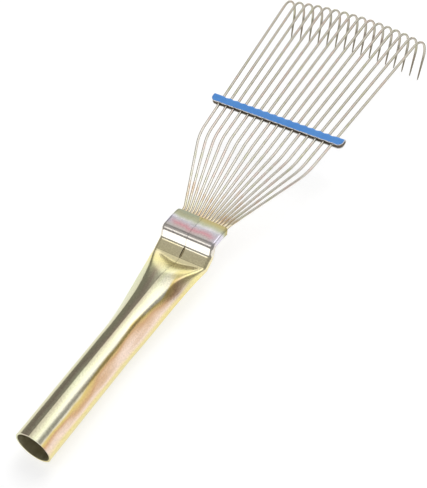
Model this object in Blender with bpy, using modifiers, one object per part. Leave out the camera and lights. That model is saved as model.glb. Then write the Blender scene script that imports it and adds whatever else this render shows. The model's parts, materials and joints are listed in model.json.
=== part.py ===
"""Wire hand rake: a rolled sheet-steel socket handle, sixteen sprung wire tines and a folded spreader bar.

Lengths are metres. The rake is laid out with the row of tines in the plane z = 0, the tips towards +Y and
the spreader bar at y = 0. It is then set down on its hook tips and on the underside of its handle, with the
middle of its footprint at the origin.
"""

import math

import bmesh
import bpy
import numpy as np
from mathutils import Matrix, Vector

MM = 0.001
OBJECT_NAME = "wire_hand_rake"

# Tines
TINE_COUNT = 16
WIRE_DIAMETER = 1.5 * MM
WIRE_GAP = 0.3 * MM
TINE_SPAN_AT_BEND = 66.5 * MM
TINE_SPAN_AT_HOOK = 82.8 * MM
LIP_TO_SPLAY = 3.0 * MM
FAN_LENGTH = 49.6 * MM
RUN_LENGTH = 105.4 * MM
SPLAY_RADIUS = 10.0 * MM
BEND_RADIUS = 40.0 * MM
HOOK_RADIUS = 11.0 * MM
HOOK_TURN = math.radians(120.0)
TIP_LENGTH = 13.5 * MM
POINT_LENGTH = 2.5 * MM
POINT_DIAMETER = 0.6 * MM
TAIL_INSET = 1.0 * MM

# Clamp at the front of the handle, measured along the middle of its two walls, from the lip backwards
SHEET = 0.9 * MM
CLAMP_CLEARANCE = 0.25 * MM
CLAMP_SIDE_ROOM = 0.6 * MM
LIP_BEHIND_BAR = 74.4 * MM
LIP_DROP = 1.6 * MM
DROOP_RUN = 6.6 * MM
DROOP_RISE = 1.6 * MM
PLATFORM_RUN = 6.3 * MM
PLATFORM_RISE = 0.6 * MM
STEP_RUN = 3.3 * MM
STEP_FALL = 5.1 * MM
BAND_RUN = 6.7 * MM
BAND_FALL = 2.5 * MM
DROOP_RADIUS = 12.0 * MM
STEP_RADIUS = 2.5 * MM

# Round socket behind the clamp
TUBE_DIAMETER = 19.9 * MM
TUBE_LENGTH = 64.0 * MM
TRANSITION_LENGTH = 59.1 * MM
RAMP_LENGTH = 17.0 * MM
WIDTH_EASE = 1.2
BELLY_EASE = 1.5
TUBE_AXIS_DROP = 4.3 * MM
HANDLE_PITCH = math.radians(4.4)
SEAM_GAP = 0.5 * MM

# Spreader bar
STRIP_SHEET = 0.6 * MM
STRIP_DEPTH = 5.6 * MM
STRIP_OVERHANG = 4.7 * MM
STRIP_CORNER_RADIUS = 2.8 * MM
STRIP_CLEARANCE = 0.25 * MM
HOLE_CLEARANCE = 0.2 * MM

# Facets
ARC_STEP = math.radians(15.0)
HOOK_STEPS = 9
FLAT_SEGMENTS = 6
FOLD_SEGMENTS = 6
TRANSITION_STEPS = 10
TRANSITION_SPACING = 1.5
SECTION_SAMPLES = 25
STRIP_COLUMNS = 12
STRIP_CORNER_ROWS = 4
HOLE_SIDES = 16
WIRE_BEVEL_RESOLUTION = 2
SMOOTH_ANGLE = math.radians(35.0)

# Sizes that follow from those above
WIRE_RADIUS = WIRE_DIAMETER / 2
WIRE_PITCH = WIRE_DIAMETER + WIRE_GAP
CLAMP_HEIGHT = WIRE_DIAMETER + 2 * (CLAMP_CLEARANCE + SHEET)
CLAMP_WIDTH = (TINE_COUNT - 1) * WIRE_PITCH + CLAMP_HEIGHT + 2 * CLAMP_SIDE_ROOM
CLAMP_FLAT = (CLAMP_WIDTH - CLAMP_HEIGHT) / 2


def clear_scene():
    for item in list(bpy.data.objects):
        bpy.data.objects.remove(item, do_unlink=True)


def new_collection(name):
    collection = bpy.data.collections.new(name)
    bpy.context.scene.collection.children.link(collection)
    return collection


def make_material(name, colour, metallic, roughness):
    material = bpy.data.materials.new(name)
    material.use_nodes = True
    shader = material.node_tree.nodes["Principled BSDF"]
    shader.inputs["Base Color"].default_value = (*colour, 1.0)
    shader.inputs["Metallic"].default_value = metallic
    shader.inputs["Roughness"].default_value = roughness
    return material


def mesh_object(name, bm, collection, material=None):
    mesh = bpy.data.meshes.new(name)
    bm.to_mesh(mesh)
    bm.free()
    item = bpy.data.objects.new(name, mesh)
    collection.objects.link(item)
    if material:
        mesh.materials.append(material)
    mesh.shade_smooth()
    mesh.set_sharp_from_angle(angle=SMOOTH_ANGLE)
    return item


def rounded_path(corners, radii, steps=None):
    """Points along straight runs between corners, with an arc of the given radius at each inner corner."""
    points = [corners[0]]
    for index in range(1, len(corners) - 1):
        corner = corners[index]
        towards = (corner - corners[index - 1]).normalized()
        away = (corners[index + 1] - corner).normalized()
        turn = towards.angle(away)
        count = steps[index] if steps and index in steps else max(1, math.ceil(turn / ARC_STEP))
        radius = radii[index - 1]
        start = corner - towards * radius * math.tan(turn / 2)
        inwards = (away - towards * towards.dot(away)).normalized()
        for step in range(count + 1):
            angle = turn * step / count
            across = inwards * (1 - math.cos(angle))
            points.append(start + radius * (towards * math.sin(angle) + across))
    points.append(corners[-1])
    return points


def clamp_corners():
    """Corners of the line midway between the clamp's walls, from the lip to the end of its rear band."""
    lip = Vector((0, -LIP_BEHIND_BAR, -LIP_DROP))
    droop = lip + Vector((0, -DROOP_RUN, DROOP_RISE))
    crest = droop + Vector((0, -PLATFORM_RUN, PLATFORM_RISE))
    crease = crest + Vector((0, -STEP_RUN, -STEP_FALL))
    band_end = crease + Vector((0, -BAND_RUN, -BAND_FALL))
    return lip, droop, crest, crease, band_end


def tine_place(index):
    """Where a tine stands in the row, from -1 at the left outer tine to 1 at the right one."""
    return 2 * index / (TINE_COUNT - 1) - 1


def splay_point(place):
    """Where a tine starts to fan out, a little way in front of the clamp's lip."""
    lip, droop = clamp_corners()[:2]
    across = Vector((place * (TINE_COUNT - 1) * WIRE_PITCH / 2, 0, 0))
    return lip + (lip - droop).normalized() * LIP_TO_SPLAY + across


def tine_run(place):
    """Bend and start of the hook of a tine. Every tine has the same length of wire in each run."""
    splay = splay_point(place)
    bend_across = place * TINE_SPAN_AT_BEND / 2
    fan_forwards = math.sqrt(FAN_LENGTH ** 2 - (bend_across - splay.x) ** 2 - splay.z ** 2)
    bend = Vector((bend_across, splay.y + fan_forwards, 0))
    hook_across = place * TINE_SPAN_AT_HOOK / 2
    run_forwards = math.sqrt(RUN_LENGTH ** 2 - (hook_across - bend_across) ** 2)
    return bend, Vector((hook_across, bend.y + run_forwards, 0))


def tine_at(place, y):
    """Point and direction of a tine's long straight run where it passes the given y."""
    bend, hook_start = tine_run(place)
    run = (hook_start - bend).normalized()
    return bend + run * ((y - bend.y) / run.y), run


def tine_points(index):
    """Centre line of one tine: tail in the clamp, splay, bend, straight run, hook and tip."""
    lip, droop, crest, crease, band_end = clamp_corners()
    place = tine_place(index)
    splay = splay_point(place)
    tail = band_end + (crease - band_end).normalized() * TAIL_INSET
    inside = [corner + Vector((splay.x, 0, 0)) for corner in (tail, crease, crest, droop)]
    bend, hook_start = tine_run(place)
    run = (hook_start - bend).normalized()
    tangent = HOOK_RADIUS * math.tan(HOOK_TURN / 2)
    hook = hook_start + run * tangent
    down = run * math.cos(HOOK_TURN) + Vector((0, 0, -math.sin(HOOK_TURN)))
    point = hook + down * (tangent + TIP_LENGTH - POINT_LENGTH)
    corners = [*inside, splay, bend, hook, point]
    radii = [STEP_RADIUS, STEP_RADIUS, DROOP_RADIUS, SPLAY_RADIUS, BEND_RADIUS, HOOK_RADIUS]
    hook_corner = len(corners) - 2
    return rounded_path(corners, radii, {hook_corner: HOOK_STEPS}) + [point + down * POINT_LENGTH]


def add_tine(index, collection, material):
    name = f"tine_{index + 1:02d}"
    curve = bpy.data.curves.new(name, "CURVE")
    curve.dimensions = "3D"
    curve.bevel_depth = WIRE_RADIUS
    curve.bevel_resolution = WIRE_BEVEL_RESOLUTION
    curve.use_fill_caps = True
    points = tine_points(index)
    spline = curve.splines.new("POLY")
    spline.points.add(len(points) - 1)
    for target, place in zip(spline.points, points):
        target.co = (*place, 1.0)
    spline.points[-1].radius = POINT_DIAMETER / WIRE_DIAMETER
    spline.use_smooth = True
    curve.materials.append(material)
    tine = bpy.data.objects.new(name, curve)
    collection.objects.link(tine)
    return tine


def girth_shares():
    """Where the points of a handle section lie, as shares of the sheet's half girth from the seam round.

    They are spaced to suit the flattened clamp, with a finer step round its folds. Every section uses the
    same shares, so the sheet doesn't creep round as the handle changes from flat to round.
    """
    fold = math.pi * CLAMP_HEIGHT / 2
    flat_above = CLAMP_FLAT - SEAM_GAP / 2
    places = np.concatenate((
        np.linspace(0, flat_above, FLAT_SEGMENTS, endpoint=False),
        flat_above + np.linspace(0, fold, FOLD_SEGMENTS, endpoint=False),
        flat_above + fold + np.linspace(0, CLAMP_FLAT, FLAT_SEGMENTS + 1),
    ))
    return places / places[-1]


def half_section(half_width, rise, fall, flat_above, flat_below):
    """Right half of a handle section, from the seam's edge at the top round to the middle of the bottom.

    The section is flat at its top and bottom, with a quarter of an ellipse from each flat to its widest
    point, which is at height 0.
    """
    turns = np.linspace(0, math.pi / 2, SECTION_SAMPLES)
    above = flat_above + (half_width - flat_above) * np.sin(turns)
    below = flat_below + (half_width - flat_below) * np.cos(turns)
    across = np.concatenate(([SEAM_GAP / 2], np.maximum(above, SEAM_GAP / 2), below, [0.0]))
    height = np.concatenate(([rise], rise * np.cos(turns), -fall * np.sin(turns), [-fall]))
    steps = np.hypot(np.diff(across), np.diff(height))
    lengths = np.concatenate(([0.0], np.cumsum(steps)))
    places = girth_shares() * lengths[-1]
    return list(zip(np.interp(places, lengths, across), np.interp(places, lengths, height)))


def handle_stations():
    """Centre and half section of each station of the handle, from the lip to the rear end.

    Behind the clamp a flat ramp rises to the top of the tube and narrows to a point, while the belly fills
    out and the sides draw in over the whole transition.
    """
    corners = clamp_corners()
    clamp_section = half_section(CLAMP_WIDTH / 2, CLAMP_HEIGHT / 2, CLAMP_HEIGHT / 2, CLAMP_FLAT, CLAMP_FLAT)
    stations = [
        (point, clamp_section) for point in rounded_path(corners, [DROOP_RADIUS, STEP_RADIUS, STEP_RADIUS])
    ]
    backwards = Vector((0, -math.cos(HANDLE_PITCH), math.sin(HANDLE_PITCH)))
    upwards = Vector((0, math.sin(HANDLE_PITCH), math.cos(HANDLE_PITCH)))
    axis_start = corners[-1] - upwards * TUBE_AXIS_DROP
    clamp_top = TUBE_AXIS_DROP + CLAMP_HEIGHT / 2
    clamp_bottom = TUBE_AXIS_DROP - CLAMP_HEIGHT / 2
    radius = TUBE_DIAMETER / 2
    for step in range(1, TRANSITION_STEPS + 1):
        share = (step / TRANSITION_STEPS) ** TRANSITION_SPACING
        rest = 1 - share
        ramp_rest = max(0.0, 1 - share * TRANSITION_LENGTH / RAMP_LENGTH)
        filled = share * share * (3 - 2 * share)
        top = radius + (clamp_top - radius) * ramp_rest ** 2
        bottom = clamp_bottom - (clamp_bottom + radius) * filled
        middle = TUBE_AXIS_DROP * (1 - filled)
        half_width = radius + (CLAMP_WIDTH / 2 - radius) * rest ** WIDTH_EASE
        section = half_section(half_width, top - middle, middle - bottom,
                               CLAMP_FLAT * ramp_rest, CLAMP_FLAT * rest ** BELLY_EASE)
        stations.append((axis_start + backwards * TRANSITION_LENGTH * share + upwards * middle, section))
    rear = axis_start + backwards * (TRANSITION_LENGTH + TUBE_LENGTH)
    stations.append((rear, half_section(radius, radius, radius, 0.0, 0.0)))
    return stations, upwards


def station_upwards(stations, tube_upwards):
    """The up direction of each section: square to the clamp's middle line, then square to the tube."""
    directions = []
    clamp_count = len(stations) - TRANSITION_STEPS - 1
    for index in range(len(stations)):
        if index >= clamp_count:
            directions.append(tube_upwards)
            continue
        ahead = stations[max(index - 1, 0)][0]
        behind = stations[index + 1][0] if index + 1 < clamp_count else stations[index][0]
        forwards = (ahead - behind).normalized()
        directions.append(Vector((0, -forwards.z, forwards.y)))
    directions[clamp_count - 1] = (directions[clamp_count - 1] + tube_upwards).normalized()
    return directions


def add_handle(collection, material):
    """Loft the handle's outer face from section to section, open at the seam, and give it its sheet."""
    stations, tube_upwards = handle_stations()
    bm = bmesh.new()
    rows = []
    for (centre, right), up in zip(stations, station_upwards(stations, tube_upwards)):
        outline = right + [(-across, height) for across, height in reversed(right[:-1])]
        rows.append([bm.verts.new(centre + Vector((across, 0, 0)) + up * height) for across, height in outline])
    for front, back in zip(rows, rows[1:]):
        for side in range(len(front) - 1):
            bm.faces.new((front[side], front[side + 1], back[side + 1], back[side]))
    bmesh.ops.recalc_face_normals(bm, faces=bm.faces)
    handle = mesh_object("handle_socket", bm, collection, material)
    wall = handle.modifiers.new("sheet", "SOLIDIFY")
    wall.thickness = SHEET
    wall.offset = -1.0
    wall.use_even_offset = True
    return handle


def strip_rows():
    """Rows of the folded strip's middle surface: (y, z, half length), from the lower edge to the upper."""
    fold_radius = WIRE_RADIUS + STRIP_CLEARANCE + STRIP_SHEET / 2
    fold_centre = STRIP_DEPTH / 2 - fold_radius - STRIP_SHEET / 2
    edge = -STRIP_DEPTH / 2
    outer_tine, _ = tine_at(1.0, 0.0)
    half = outer_tine.x + WIRE_RADIUS + STRIP_OVERHANG
    leaf = []
    for step in range(STRIP_CORNER_ROWS + 1):
        angle = math.pi / 2 * step / STRIP_CORNER_ROWS
        inset = STRIP_CORNER_RADIUS * (1 - math.sin(angle))
        leaf.append((edge + STRIP_CORNER_RADIUS * (1 - math.cos(angle)), half - inset))
    rows = [(y, -fold_radius, length) for y, length in leaf]
    for step in range(FOLD_SEGMENTS + 1):
        angle = math.pi * (step / FOLD_SEGMENTS - 0.5)
        rows.append((fold_centre + fold_radius * math.cos(angle), fold_radius * math.sin(angle), half))
    rows += [(y, fold_radius, length) for y, length in reversed(leaf)]
    return rows, fold_centre


def add_hole_cutters(collection, fold_centre):
    """One cylinder along each tine, through the fold of the strip only."""
    bm = bmesh.new()
    radius = WIRE_RADIUS + HOLE_CLEARANCE
    reach = STRIP_DEPTH / 2 - fold_centre + STRIP_SHEET
    for index in range(TINE_COUNT):
        start, run = tine_at(tine_place(index), fold_centre)
        turn = Vector((0, 0, 1)).rotation_difference(run).to_matrix().to_4x4()
        place = Matrix.Translation(start + run * reach / 2) @ turn
        bmesh.ops.create_cone(bm, cap_ends=True, segments=HOLE_SIDES, radius1=radius, radius2=radius,
                              depth=reach, matrix=place)
    cutter = mesh_object("tine_holes", bm, collection)
    cutter.hide_render = True
    cutter.display_type = "WIRE"
    return cutter


def add_spreader(collection, cutters, material):
    """Fold a strip over the tines along its front edge, with a hole for each tine in the fold."""
    rows, fold_centre = strip_rows()
    bm = bmesh.new()
    lines = []
    for y, z, half in rows:
        shares = [2 * column / STRIP_COLUMNS - 1 for column in range(STRIP_COLUMNS + 1)]
        lines.append([bm.verts.new((share * half, y, z)) for share in shares])
    for lower, upper in zip(lines, lines[1:]):
        for column in range(STRIP_COLUMNS):
            bm.faces.new((lower[column], lower[column + 1], upper[column + 1], upper[column]))
    bmesh.ops.recalc_face_normals(bm, faces=bm.faces)
    strip = mesh_object("spreader_bar", bm, collection, material)
    wall = strip.modifiers.new("sheet", "SOLIDIFY")
    wall.thickness = STRIP_SHEET
    wall.offset = 0.0
    wall.use_even_offset = True
    holes = strip.modifiers.new("tine_holes", "BOOLEAN")
    holes.operation = "DIFFERENCE"
    holes.object = add_hole_cutters(cutters, fold_centre)
    return strip


def surface_points(items):
    """World positions of every corner of the finished surfaces."""
    depsgraph = bpy.context.evaluated_depsgraph_get()
    clouds = []
    for item in items:
        finished = item.evaluated_get(depsgraph)
        mesh = finished.to_mesh()
        flat = np.empty(len(mesh.vertices) * 3)
        mesh.vertices.foreach_get("co", flat)
        turn = np.array(finished.matrix_world)
        clouds.append(flat.reshape(-1, 3) @ turn[:3, :3].T + turn[:3, 3])
        finished.to_mesh_clear()
    return np.vstack(clouds)


def set_down(frame, handle, tines, others):
    """Tilt the rake until its hook tips and its handle touch the table together, then centre it."""
    handle_cloud = surface_points([handle])
    tine_cloud = surface_points(tines)

    def gap(tilt):
        lift = np.array([math.sin(tilt), math.cos(tilt)])
        return (handle_cloud[:, 1:] @ lift).min() - (tine_cloud[:, 1:] @ lift).min()

    low = -math.pi / 4
    high = math.pi / 4
    for _ in range(60):
        middle = (low + high) / 2
        if gap(middle) > 0:
            low = middle
        else:
            high = middle
    frame.rotation_euler.x = (low + high) / 2
    bpy.context.view_layer.update()
    cloud = surface_points([handle, *tines, *others])
    lowest = cloud.min(axis=0)
    highest = cloud.max(axis=0)
    frame.location = (0, -(lowest[1] + highest[1]) / 2, -lowest[2])
    bpy.context.view_layer.update()


def main():
    clear_scene()
    parts = new_collection(OBJECT_NAME)
    cutters = new_collection("cutters")
    plated_sheet = make_material("yellow_zinc_sheet", (0.62, 0.56, 0.34), 1.0, 0.25)
    plated_wire = make_material("yellow_zinc_wire", (0.56, 0.53, 0.45), 1.0, 0.3)
    blue_paint = make_material("blue_paint", (0.07, 0.25, 0.67), 0.0, 0.4)
    frame = bpy.data.objects.new("rake_frame", None)
    parts.objects.link(frame)
    handle = add_handle(parts, plated_sheet)
    tines = [add_tine(index, parts, plated_wire) for index in range(TINE_COUNT)]
    spreader = add_spreader(parts, cutters, blue_paint)
    for item in [handle, spreader, *tines, *cutters.objects]:
        item.parent = frame
    set_down(frame, handle, tines, [spreader])


main()
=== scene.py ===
"""Finished surfaces and studio for a wire hand rake.

The rake is a socket handle rolled from plated sheet, a row of plated spring wires and a painted spreader bar.
Lengths are metres. Each piece is shaped in the rake's own frame, with the row of tines in the plane z = 0,
the tips towards +Y and the spreader bar at y = 0, and is then set down on the table where the solids lie.
"""

import json
import math

import bmesh
import bpy
from bpy.props import FloatProperty, FloatVectorProperty, IntProperty, PointerProperty
from bpy.types import Operator, Panel, PropertyGroup
from mathutils import Matrix, Vector
from mathutils.geometry import interpolate_bezier


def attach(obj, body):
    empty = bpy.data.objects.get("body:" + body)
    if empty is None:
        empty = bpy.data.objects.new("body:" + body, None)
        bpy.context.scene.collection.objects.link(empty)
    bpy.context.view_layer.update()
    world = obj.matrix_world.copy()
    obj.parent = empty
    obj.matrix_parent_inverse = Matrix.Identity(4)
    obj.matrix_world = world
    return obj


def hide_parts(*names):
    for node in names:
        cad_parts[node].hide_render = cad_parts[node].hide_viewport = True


bl_info = {
    "name": "Wire hand rake",
    "version": (1, 0, 0),
    "blender": (4, 5, 0),
    "location": "View3D > Sidebar > Rake",
    "description": "Finished surfaces and studio for a wire hand rake",
    "category": "Object",
}

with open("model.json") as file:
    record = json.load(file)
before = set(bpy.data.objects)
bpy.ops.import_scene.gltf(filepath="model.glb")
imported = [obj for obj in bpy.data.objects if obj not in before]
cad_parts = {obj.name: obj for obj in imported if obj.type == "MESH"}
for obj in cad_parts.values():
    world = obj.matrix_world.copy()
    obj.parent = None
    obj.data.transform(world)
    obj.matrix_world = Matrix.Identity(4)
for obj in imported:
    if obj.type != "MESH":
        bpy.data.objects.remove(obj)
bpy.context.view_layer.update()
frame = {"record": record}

MM = 0.001
BODY = "root"

# Fineness of the shaped surfaces
ARC_STEP = math.radians(4.0)
CLAMP_STEP = 0.8 * MM
TRANSITION_STEP = 0.9 * MM
TUBE_STEP = 2.5 * MM
FLAT_COLUMNS = 16
FOLD_COLUMNS = 16
SECTION_SAMPLES = 48
ROOF_SAMPLES = 12
WIRE_ROUNDNESS = 6
STRIP_COLUMNS_PER_TINE = 12
STRIP_FOLD_ROWS = 12
STRIP_LEAF_ROWS = 10
EDGE_SEGMENTS = 2
EDGE_ANGLE = math.radians(50.0)

# Form of the handle's sheet: crown of the roof beside the seam, handles of the section's curves, shares of
# the ramp that curve, powers by which the width, belly and roundness change behind the clamp, how quickly the
# slot opens along the band, and how many corner radii behind the lip its rounded corners fade out
ROOF_CROWN = 0.32
QUARTER_HANDLE = 0.5523
SHOULDER_HANDLE = 0.22
FOLD_HANDLE = 0.12
RAMP_FOOT_CURVE = 0.15
RAMP_HEAD_CURVE = 0.55
WIDTH_EASE = 1.2
BELLY_EASE = 1.5
ROUNDING_EASE = 3
SLOT_OPENING = 6
LIP_FADE = 2

# Colours of the chromate film, with painted reflections in them: round the tube by share of the half girth
# from the seam, left to right, and along the clamp by millimetres from its lip. Round the tube the stops
# follow the bands that the room reflects: nearly white where the highlight falls, darker beside the seam and
# brown in the brown band. Along the clamp the first stops draw the lip darker, as painted shade.
FILM_CLOUD = 9.0 * MM
FILM_WANDER = 15.0 * MM
FILM_SHIFT = 0.07
FILM_STRETCH = 0.25
TUBE_FILM_START = 30.0 * MM
TUBE_FILM_AND_REFLECTIONS = (
    (-1.0, "E2D69C"), (-0.34, "E2E6BC"), (-0.16, "E0DAB6"), (-0.05, "D8C8AE"), (0.06, "F0F0CC"),
    (0.13, "FAF5DE"), (0.17, "E6CE82"), (0.23, "D6AE84"), (0.32, "FAE2D0"), (0.46, "F4E4A0"),
    (1.0, "E2D69C"),
)
SEAM_PLACE = 0.5
PLATFORM_WINDOW = ((5.5, 0.0), (7.5, 1.0), (11.0, 1.0), (13.0, 0.0))
PINK_END = 0.22
LILAC_START = 0.38
LILAC_FILM = "E6E2EE"
# Painted shade on the lip: grey-green on its left half, fading out this far behind the lip
LIP_SHADE_END = 7.0 * MM
LEFT_LIP_SHADE = "A6AA92"
CLAMP_FILM_LENGTH = 46.0 * MM
# The first stops draw the lip darker olive, as painted shade; the rest are the film's tints
CLAMP_FILM_AND_LIP_SHADE = (
    (0.0, "C2B078"), (2.5, "C0B888"), (4.5, "C4C6AC"), (7.0, "EEEAF0"), (9.5, "F8BCC2"), (12.0, "E6DED8"),
    (18.6, "F6F0DE"), (20.0, "FAEEC6"), (28.0, "F8ECBC"), (33.0, "FCF0AA"), (46.0, "F0EEBE"),
)

# Film of the wires: its tints, how far a face looks sideways where the painted shade on the wire's sides
# starts and where it is full, how it turns along the rake from golden to pale to dull, and the heights
# between which the hooks turn darker towards their low ends
WIRE_TINTS = ((0.36, "FDF2F2"), (0.46, "FFFFFF"), (0.56, "FFFFFF"), (0.66, "FAFDF0"))
SIDE_SHADE_START = 0.84
SIDE_SHADE_FULL = 0.99
GOLD_WIRE_START = -12.0 * MM
PALE_WIRE = 0.22
DULL_WIRE_START = 85.0 * MM
HOOK_DIM_START = 20.0 * MM
HOOK_DIM_END = 6.0 * MM

# Sizes of the marks in the finishes, and the range in which most of a noise lies. The grain of the plate, the
# die lines and the orange peel are really finer: they are drawn as coarse as they need to show.
NOISE_RANGE = {"From Min": 0.3, "From Max": 0.7}
SHEET_GRAIN = 0.8 * MM
SHEET_GRAIN_DEPTH = 0.02 * MM
GRAIN_DETAIL = 3.0
BORE_STAIN = 6.0 * MM
SPECK_TONE = 0.84
WIRE_STRETCH = 0.04
WIRE_LINE = 0.2 * MM
WIRE_LINE_DEPTH = 0.01 * MM
WIRE_CLOUD = 7.0 * MM
WIRE_PATCHES = 0.1
PAINT_PEEL = 0.6 * MM
PAINT_PEEL_DEPTH = 0.01 * MM
PAINT_CLOUD = 6.0 * MM
WEAR_PATCH = 1.2 * MM
WEAR_REACH = 0.3 * MM
SHEAR_STRETCH = 0.15
SHEAR_STREAK = 0.25 * MM
SHEAR_STREAK_DEPTH = 0.01 * MM

# Roughness of each finish where its noise is low and where it is high
SHEET_ROUGHNESS = {"To Min": 0.13, "To Max": 0.22}
BORE_ROUGHNESS = {"To Min": 0.5, "To Max": 0.65}
WIRE_ROUGHNESS = {"To Min": 0.1, "To Max": 0.2}
PAINT_ROUGHNESS = {"To Min": 0.4, "To Max": 0.52}
SHEAR_ROUGHNESS = {"To Min": 0.5, "To Max": 0.3}
PRIMER_ROUGHNESS = {"To Min": 0.55, "To Max": 0.75}

# White that the floor shows the camera and reflections on top of the light that falls on it
FLOOR_LIFT = 0.70

# Tone of the studio's walls, and the bright and dark panels on them: direction, angle from it to where the
# panel starts to fade and to where it ends, in degrees, and change of tone
WALL_TONE = 0.33
ROOM_PANELS = (
    ((0.12, 0.54, 0.83), 3.0, 21.0, 0.8),
    ((-0.14, 0.54, 0.83), 10.0, 44.0, 0.42),
    ((0.87, 0.49, 0.0), 35.0, 36.5, 0.75),
    ((-0.42, 0.87, 0.22), 14.0, 27.0, 0.7),
    ((-0.40, -0.90, 0.04), 9.0, 18.0, 1.6),
    ((-0.42, -0.77, 0.48), 3.0, 8.0, -0.1),
    ((-0.42, -0.525, 0.738), 6.0, 10.0, 1.2),
    ((-0.42, -0.22, 0.88), 6.0, 14.0, 0.14),
    ((-0.42, 0.12, 0.90), 3.0, 13.0, -0.24),
    ((-0.77, 0.51, 0.39), 12.0, 26.0, -0.08),
)


def linear_colour(code):
    """Linear colour of an sRGB hex code."""
    channels = [int(code[place:place + 2], 16) / 255 for place in (0, 2, 4)]
    return tuple(c / 12.92 if c <= 0.04045 else ((c + 0.055) / 1.055) ** 2.4 for c in channels)


def length(name, description, millimetres):
    """Property for a length that is given in millimetres."""
    return FloatProperty(
        name=name, description=description, default=millimetres * MM, unit="LENGTH", precision=4)


def angle(name, description, degrees):
    """Property for an angle that is given in degrees."""
    return FloatProperty(name=name, description=description, default=math.radians(degrees), subtype="ANGLE")


def colour(name, description, code):
    """Property for a colour that is given as an sRGB hex code."""
    return FloatVectorProperty(
        name=name, description=description, default=linear_colour(code), subtype="COLOR", min=0.0, max=1.0)


class RakeTines(PropertyGroup):
    """Sizes of the row of spring wires."""

    count: IntProperty(name="Tines", description="Wires in the row", default=16, min=2)
    wire: length("Wire", "Diameter of the spring wire", 1.5)
    gap: length("Gap", "Room between neighbouring wires in the clamp", 0.3)
    span_at_bend: length("Span at the bend", "Between the outer wires where they turn nearly parallel", 66.5)
    span_at_hook: length("Span at the hooks", "Between the outer wires where the hooks start", 82.8)
    lip_to_splay: length("Lip to splay", "From the clamp's lip to where the wires fan out", 3.0)
    fan: length("Fan", "Wire between the splay and the bend", 49.6)
    run: length("Run", "Wire between the bend and the hook", 105.4)
    splay_radius: length("Splay radius", "Radius of the wires where they fan out", 10.0)
    bend_radius: length("Bend radius", "Radius of the wires where they turn nearly parallel", 40.0)
    hook_radius: length("Hook radius", "Radius of the hooks", 11.0)
    hook_turn: angle("Hook turn", "How far the hooks turn over", 120.0)
    tip: length("Tip", "Straight wire behind each hook", 13.5)
    tip_diameter: length("Tip diameter", "Thickness of the wire just before its point", 0.9)
    point: length("Point", "Length of the tapered end of a wire", 2.5)
    point_diameter: length("Point diameter", "Thickness of the very end of a wire", 0.6)
    tail_inset: length("Tail inset", "From the rear of the clamp to the inner ends of the wires", 1.0)


class RakeHandle(PropertyGroup):
    """Sizes of the socket handle, with its clamp measured midway between its two walls."""

    sheet: length("Sheet", "Thickness of the rolled sheet", 0.9)
    clearance: length("Clearance", "Room between the wires and the clamp's walls", 0.25)
    side_room: length("Side room", "Room beside the outer wires in the clamp", 0.6)
    lip_behind_bar: length("Lip behind bar", "From the spreader bar to the clamp's lip", 74.4)
    lip_drop: length("Lip drop", "How far the lip lies below the row of tines", 1.6)
    droop_run: length("Droop run", "Length of the lip's slope", 6.6)
    droop_rise: length("Droop rise", "Height of the lip's slope", 1.6)
    platform_run: length("Platform run", "Length of the clamp's flat top", 6.3)
    platform_rise: length("Platform rise", "Height that the flat top climbs", 0.6)
    step_run: length("Step run", "Length of the pressed step", 3.3)
    step_fall: length("Step fall", "Height of the pressed step", 5.1)
    band_run: length("Band run", "Length of the band behind the step", 6.7)
    band_fall: length("Band fall", "Height that the band falls", 2.5)
    droop_radius: length("Droop radius", "Radius between the lip and the flat top", 12.0)
    step_radius: length("Step radius", "Radius of the bend at the head of the step", 2.5)
    crease_radius: length("Crease radius", "Radius of the bend at the foot of the step", 5.4)
    tube: length("Tube", "Diameter of the round socket", 19.9)
    tube_length: length("Tube length", "Length of the round socket", 64.0)
    transition: length("Transition", "From the clamp to the round socket", 59.1)
    ramp: length("Ramp", "Length of the ramp from the clamp up to the socket's top", 17.0)
    ridge: length("Ridge", "Distance behind the clamp over which the seam rises to a ridge", 27.0)
    narrowing: length("Narrowing", "Distance behind the clamp over which most of the flat top is lost", 20.0)
    ramp_foot: length("Ramp foot", "How much later the ramp starts at the seam than at the folds", 2.6)
    foot_slope: angle("Foot slope", "How steeply the sheet falls before the ramp starts", 3.0)
    axis_drop: length("Axis drop", "From the rear of the clamp down to the socket's axis", 4.3)
    pitch: angle("Pitch", "How far the socket is turned up from the row of tines", 4.4)
    seam: length("Seam", "Gap between the rolled sheet's edges", 0.16)
    slot: length("Slot", "Gap between the sheet's edges in the band", 1.2)
    seam_flat: length("Seam flat", "Width beside the seam that the rolls leave flat", 3.2)
    seam_tilt: angle("Seam tilt", "How far the flat beside the seam leans from level", 14.0)
    edge: length("Edge", "Rounding of the sheet's cut edges", 0.15)
    lip_corner: length("Lip corner", "Rounding of the lip's two corners", 2.6)


class RakeBar(PropertyGroup):
    """Sizes of the folded spreader bar."""

    sheet: length("Sheet", "Thickness of the painted strip", 0.6)
    depth: length("Depth", "Width of the folded strip along the tines", 5.6)
    overhang: length("Overhang", "From the outer wires to the strip's ends", 4.7)
    corner_radius: length("Corner radius", "Rounding of the strip's free corners", 2.8)
    clearance: length("Clearance", "Room between the wires and the strip", 0.25)
    scallop: length("Scallop", "How far the fold draws in between the wires", 0.8)


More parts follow.
